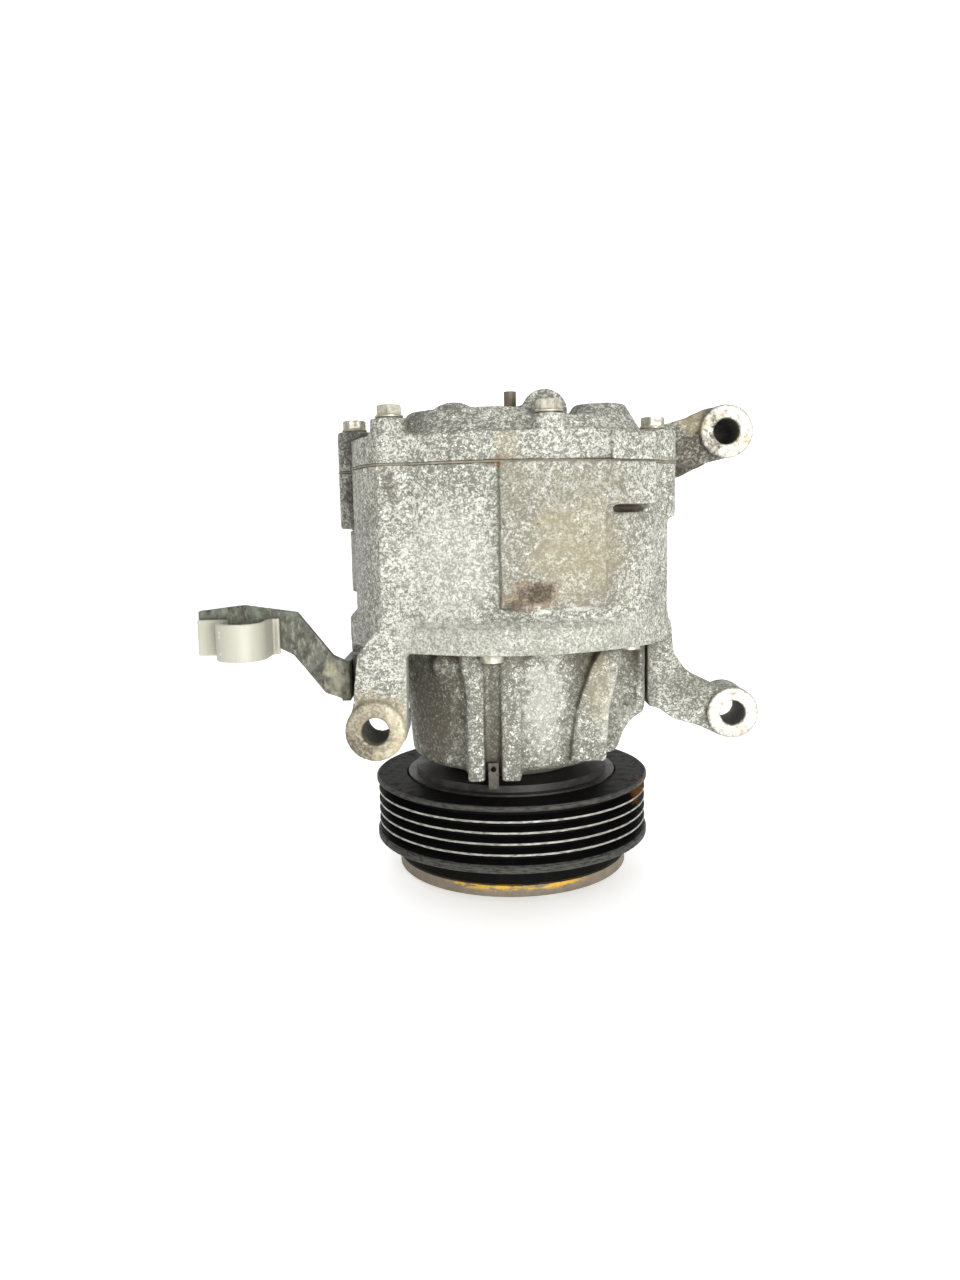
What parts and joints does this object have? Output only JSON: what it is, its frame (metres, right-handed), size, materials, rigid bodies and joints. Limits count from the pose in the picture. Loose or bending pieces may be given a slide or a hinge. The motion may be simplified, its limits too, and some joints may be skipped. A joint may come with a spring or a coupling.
{
  "type": "scroll air conditioning compressor",
  "caption": "Belt-driven scroll refrigerant compressor with electromagnetic clutch, grooved pulley, cast housings, mounting ears and a side bracket with a line clip.",
  "frame": {"origin": "on the shaft's axis, in the plane of the clutch hub's front face", "axes": "+Z along the shaft from the clutch to the rear cover, -Y towards the side with the flat pad and the ear faces, +X towards the side with two ears"},
  "size_m": [0.187, 0.112, 0.1685],
  "materials": {
    "cast_aluminium": "die cast, weathered and speckled",
    "cast_aluminium_dark": "die cast, dull grey",
    "machined_aluminium": "machined",
    "pulley_black": "semi-gloss black, worn on the crests",
    "rusty_steel": "rusty steel",
    "spring_steel": "satin",
    "bright_steel": "zinc plated",
    "bearing_steel": "ground",
    "forged_steel": "machined",
    "coil_black": "matt black",
    "coil_winding": "enamelled wire",
    "seal_rubber": "matt",
    "seal_plastic": "matt",
    "galvanised_steel": "dull zinc",
    "clip_steel": "dull cream zinc",
    "rusty_stud": "rusty",
    "brass_fitting": "dull"
  },
  "bodies": {
    "casing": {"centre_housing": "cast_aluminium", "rear_housing": "cast_aluminium", "front_housing": "cast_aluminium_dark", "fixed_scroll": "machined_aluminium", "reed_root": "spring_steel", "bearing_retaining_ring": "spring_steel", "coil_retaining_ring": "spring_steel", "seal_retaining_ring": "spring_steel", "rear_cover_screws": "bright_steel", "front_housing_screws": "bright_steel", "reed_screw": "bright_steel", "reed_stop": "bright_steel", "pulley_bearing_inner_ring": "bearing_steel", "front_bearing_cup": "bearing_steel", "front_bearing_rollers": "bearing_steel", "main_bearing_outer_ring": "bearing_steel", "main_bearing_balls": "bearing_steel", "guide_pins": "bearing_steel", "thrust_plate": "bearing_steel", "coil_housing": "coil_black", "coil_winding": "coil_winding", "shaft_seal": "seal_rubber", "rear_gasket": "seal_rubber", "fixed_tip_seal": "seal_plastic", "bracket_arm": "galvanised_steel", "bracket_bolt": "galvanised_steel", "coil_lug": "galvanised_steel", "harness_clip": "clip_steel", "cover_stud": "rusty_stud", "relief_valve": "brass_fitting"},
    "pulley": {"pulley_rotor": "pulley_black", "pulley_bearing_outer_ring": "bearing_steel", "pulley_bearing_balls": "bearing_steel", "pulley_bearing_seals": "seal_rubber", "pulley_retaining_ring": "spring_steel"},
    "shaft": {"drive_shaft": "forged_steel", "clutch_hub": "rusty_steel", "hub_bolt": "bright_steel", "air_gap_shim": "bright_steel", "hub_rivets": "bright_steel", "leaf_springs": "spring_steel", "main_bearing_inner_ring": "bearing_steel", "drive_bush": "forged_steel", "counterweight": "forged_steel"},
    "armature": {"armature_plate": "rusty_steel", "armature_rivets": "bright_steel"},
    "orbiter": {"orbiting_scroll": "machined_aluminium", "orbiting_tip_seal": "seal_plastic", "guide_rings": "bearing_steel", "orbit_bearing": "bearing_steel"},
    "reed": {"discharge_reed": "spring_steel"}
  },
  "joints": [
    {"name": "pulley_spin", "type": "hinge", "parent": "casing", "child": "pulley", "pos_m": [0, 0, 0.0248], "axis": [0, 0, 1], "continuous": true},
    {"name": "shaft_spin", "type": "hinge", "parent": "casing", "child": "shaft", "pos_m": [0, 0, 0.05], "axis": [0, 0, 1], "continuous": true},
    {"name": "clutch_pull", "type": "slide", "parent": "shaft", "child": "armature", "axis": [0, 0, 1], "range_m": [0, 0.00048], "stiffness_N_per_m": 60000, "deforming": ["leaf_springs"]},
    {"name": "scroll_orbit", "type": "hinge", "parent": "shaft", "child": "orbiter", "pos_m": [0.0036, 0, 0.086], "axis": [0, 0, 1], "continuous": true},
    {"name": "reed_lift", "type": "hinge", "parent": "casing", "child": "reed", "pos_m": [-0.0145, 0, 0.1364], "axis": [0, -1, 0], "range_deg": [0, 5], "stiffness_Nm_per_rad": 0.4}
  ],
  "couplings": [
    {"joint": "scroll_orbit", "follows": "shaft_spin", "ratio": -1}
  ]
}
